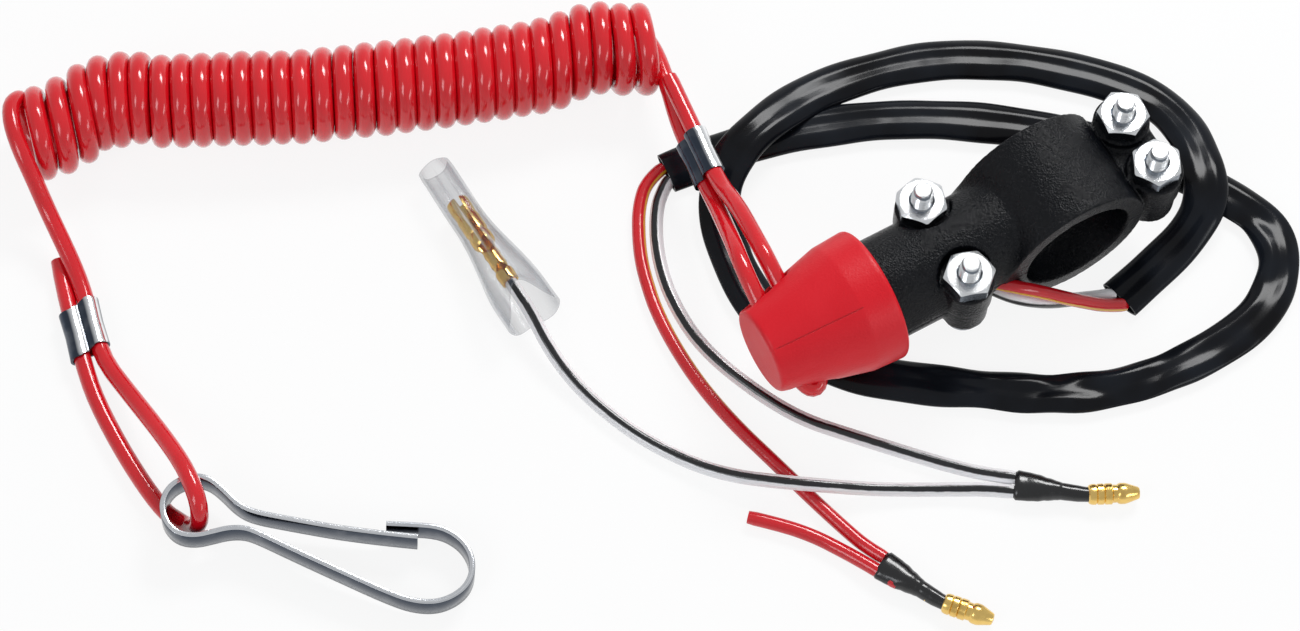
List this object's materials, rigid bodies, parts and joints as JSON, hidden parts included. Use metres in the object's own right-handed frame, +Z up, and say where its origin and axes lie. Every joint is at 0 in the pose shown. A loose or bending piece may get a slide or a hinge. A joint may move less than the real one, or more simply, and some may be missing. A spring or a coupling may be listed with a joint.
{
  "type": "engine kill switch with lanyard",
  "caption": "Handlebar kill switch with a pull-off cap, coiled lanyard, snap hook and a sleeved wiring lead with snap terminals.",
  "frame": {"origin": "centre of the handlebar bore", "axes": "+X along the switch barrel from the cap to the clamp, the handlebar bore along Y, +Z up through the nuts"},
  "size_m": [0.2196, 0.1836, 0.0324],
  "materials": {
    "housing_plastic": "fine grained black moulding",
    "zinc_steel": "bright zinc plate",
    "cap_plastic": "red moulding with a fine grain",
    "lanyard_plastic": "glossy red cord jacket",
    "sleeve_vinyl": "glossy black vinyl",
    "red_insulation": "red wire jacket with a yellow tracer",
    "white_insulation": "white wire jacket with a black tracer",
    "brass": "bright brass",
    "boot_rubber": "black shrunk boot",
    "nickel_strip": "polished plated strip",
    "ferrule_metal": "bright crimped sleeve",
    "spring_steel": "spring wire",
    "inner_plastic": "plain moulding",
    "clear_vinyl": "clear soft sleeve"
  },
  "bodies": {
    "switch": {"housing_upper": "housing_plastic", "housing_lower": "housing_plastic", "clamp_screws": "zinc_steel", "clamp_nuts": "zinc_steel", "contact_block": "inner_plastic", "contact_red": "brass", "contact_white": "brass", "spring_seat": "inner_plastic", "return_spring": "spring_steel", "wire_red_switch": "red_insulation", "wire_white_switch": "white_insulation", "harness_sleeve": "sleeve_vinyl", "wire_red_lead": "red_insulation", "wire_white_lead": "white_insulation", "wire_red_branch": "red_insulation", "wire_white_branch": "white_insulation", "boot_red": "boot_rubber", "boot_white": "boot_rubber", "bullet_red": "brass", "bullet_white": "brass", "female_terminal": "brass"},
    "plunger_body": {"plunger": "inner_plastic", "contact_bridge": "brass"},
    "tether": {"kill_cap": "cap_plastic", "ferrule_cap": "ferrule_metal", "ferrule_hook": "ferrule_metal", "lanyard_coil": "lanyard_plastic", "lanyard_cap_lead": "lanyard_plastic", "lanyard_cap_tail": "lanyard_plastic", "lanyard_hook_lead": "lanyard_plastic", "lanyard_hook_tail": "lanyard_plastic"},
    "hook": {"snap_hook": "nickel_strip"},
    "insulator": {"clear_insulator": "clear_vinyl"}
  },
  "joints": [
    {"name": "cap_pull", "type": "slide", "parent": "switch", "child": "tether", "axis": [-1, 0, 0], "range_m": [0, 0.012]},
    {"name": "plunger_travel", "type": "slide", "parent": "switch", "child": "plunger_body", "axis": [-1, 0, 0], "range_m": [0, 0.003], "deforming": ["return_spring"]},
    {"name": "hook_swing", "type": "hinge", "parent": "tether", "child": "hook", "pos_m": [-0.16857, 0.02789, -0.01155], "axis": [0.048, -0.0378, 0.9981], "range_deg": [-20, 8]},
    {"name": "insulator_slide", "type": "slide", "parent": "switch", "child": "insulator", "axis": [0.038, -0.9967, 0.0712], "range_m": [0, 0.008]}
  ],
  "couplings": [
    {"joint": "plunger_travel", "follows": "cap_pull", "ratio": 0.25}
  ]
}
